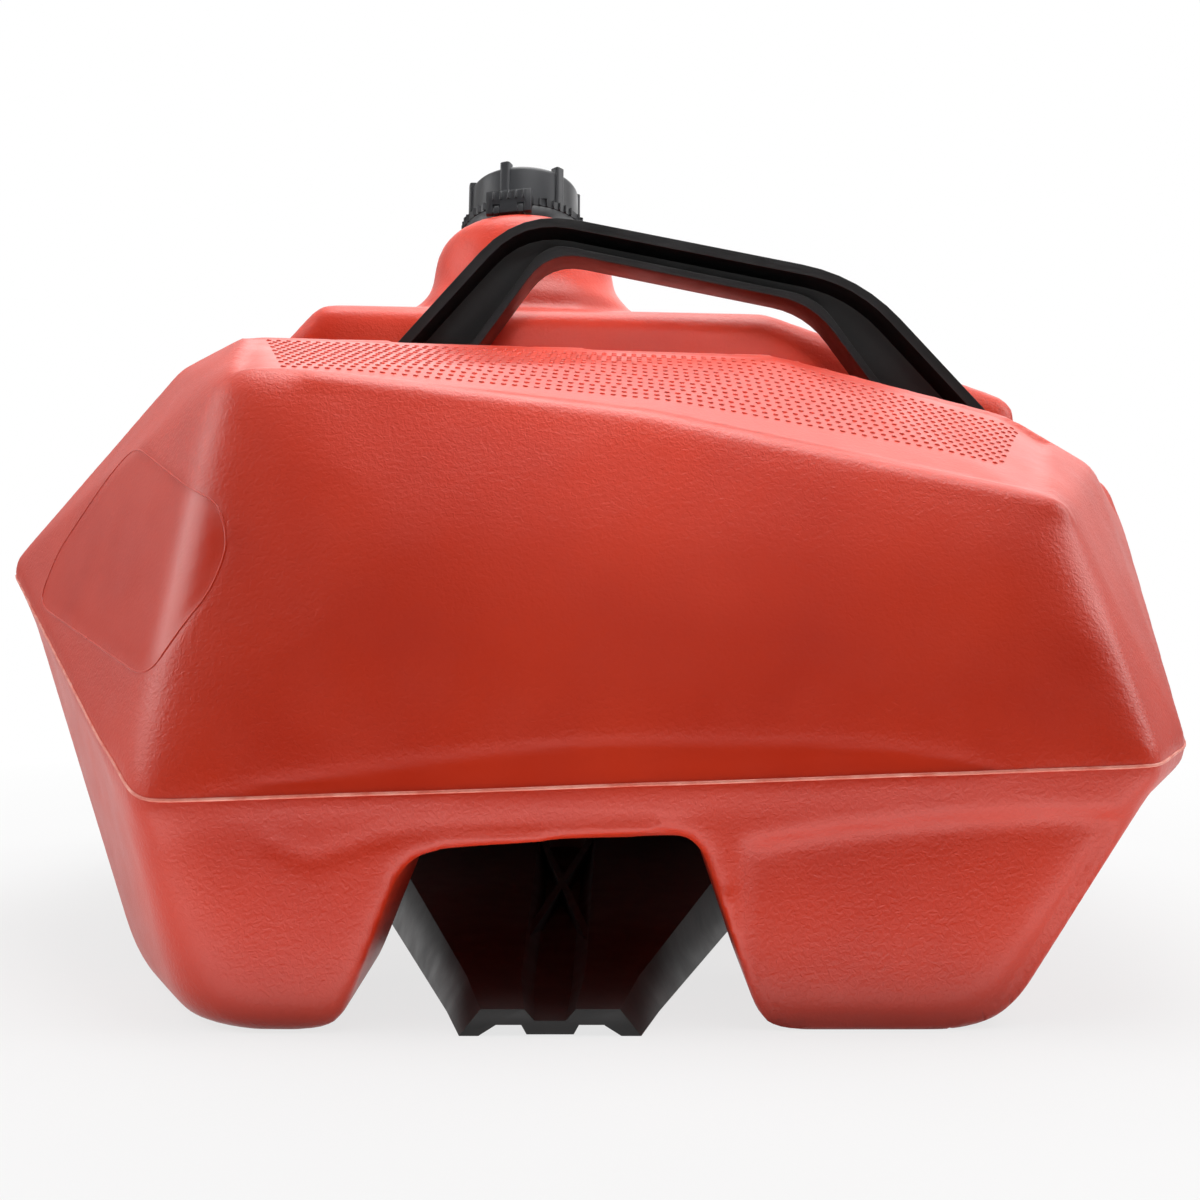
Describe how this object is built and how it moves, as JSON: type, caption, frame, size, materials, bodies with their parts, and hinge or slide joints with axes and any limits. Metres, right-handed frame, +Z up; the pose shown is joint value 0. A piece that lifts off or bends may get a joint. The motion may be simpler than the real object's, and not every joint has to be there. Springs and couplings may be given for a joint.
{
  "type": "fuel caddy",
  "caption": "Low red blow-moulded fuel tank on moulded front feet and rear wheels, with a black channel carry handle, a ribbed screw cap and a tapered undercarriage.",
  "frame": {"origin": "on the floor under the centre of the caddy's box", "axes": "+X to the right seen from the front face, +Y from the front face to the rear, +Z up"},
  "size_m": [0.5578, 0.4799, 0.415],
  "materials": {
    "red_hdpe": "fine moulded grain, semi-matt",
    "black_handle": "smooth semi-gloss",
    "black_cap": "satin",
    "black_undercarriage": "smooth semi-gloss",
    "gasket_rubber": "matt",
    "zinc_steel": "zinc plated",
    "insert_brass": "turned",
    "hub_plastic": "satin",
    "bush_nylon": "satin",
    "tyre_rubber": "matt"
  },
  "bodies": {
    "tank": {"tank_shell": "red_hdpe", "carry_handle": "black_handle", "tab_collar": "black_cap", "undercarriage": "black_undercarriage", "handle_screws_left": "zinc_steel", "handle_screws_right": "zinc_steel", "undercarriage_screws": "zinc_steel", "axle": "zinc_steel", "washer_left": "zinc_steel", "washer_right": "zinc_steel", "push_cap_left": "zinc_steel", "push_cap_right": "zinc_steel", "handle_inserts_left": "insert_brass", "handle_inserts_right": "insert_brass", "undercarriage_inserts": "insert_brass"},
    "lock_tab": {"lock_tab": "black_cap"},
    "cap_liner": {"cap_gasket": "gasket_rubber"},
    "cap": {"filler_cap": "black_cap"},
    "wheel_left": {"wheel_hub_left": "hub_plastic", "wheel_bush_left": "bush_nylon", "tyre_left": "tyre_rubber"},
    "wheel_right": {"wheel_hub_right": "hub_plastic", "wheel_bush_right": "bush_nylon", "tyre_right": "tyre_rubber"}
  },
  "joints": [
    {"name": "wheel_left_spin", "type": "hinge", "parent": "tank", "child": "wheel_left", "pos_m": [-0.205, 0.14, 0.075], "axis": [1, 0, 0], "continuous": true},
    {"name": "wheel_right_spin", "type": "hinge", "parent": "tank", "child": "wheel_right", "pos_m": [0.205, 0.14, 0.075], "axis": [1, 0, 0], "continuous": true},
    {"name": "cap_lift", "type": "slide", "parent": "tank", "child": "cap_liner", "axis": [0, 0.2924, 0.9563], "range_m": [0, 0.0081]},
    {"name": "cap_turn", "type": "hinge", "parent": "cap_liner", "child": "cap", "pos_m": [-0.026, 0.106, 0.369], "axis": [0, 0.2924, 0.9563], "range_deg": [0, 540]},
    {"name": "lock_tab_pull", "type": "hinge", "parent": "tank", "child": "lock_tab", "pos_m": [-0.03289, 0.06931, 0.38273], "axis": [0.9848, -0.1661, 0.0508], "range_deg": [0, 12], "stiffness_Nm_per_rad": 0.05}
  ],
  "couplings": [
    {"joint": "cap_lift", "follows": "cap_turn", "m_per_rad": 0.00079577}
  ]
}
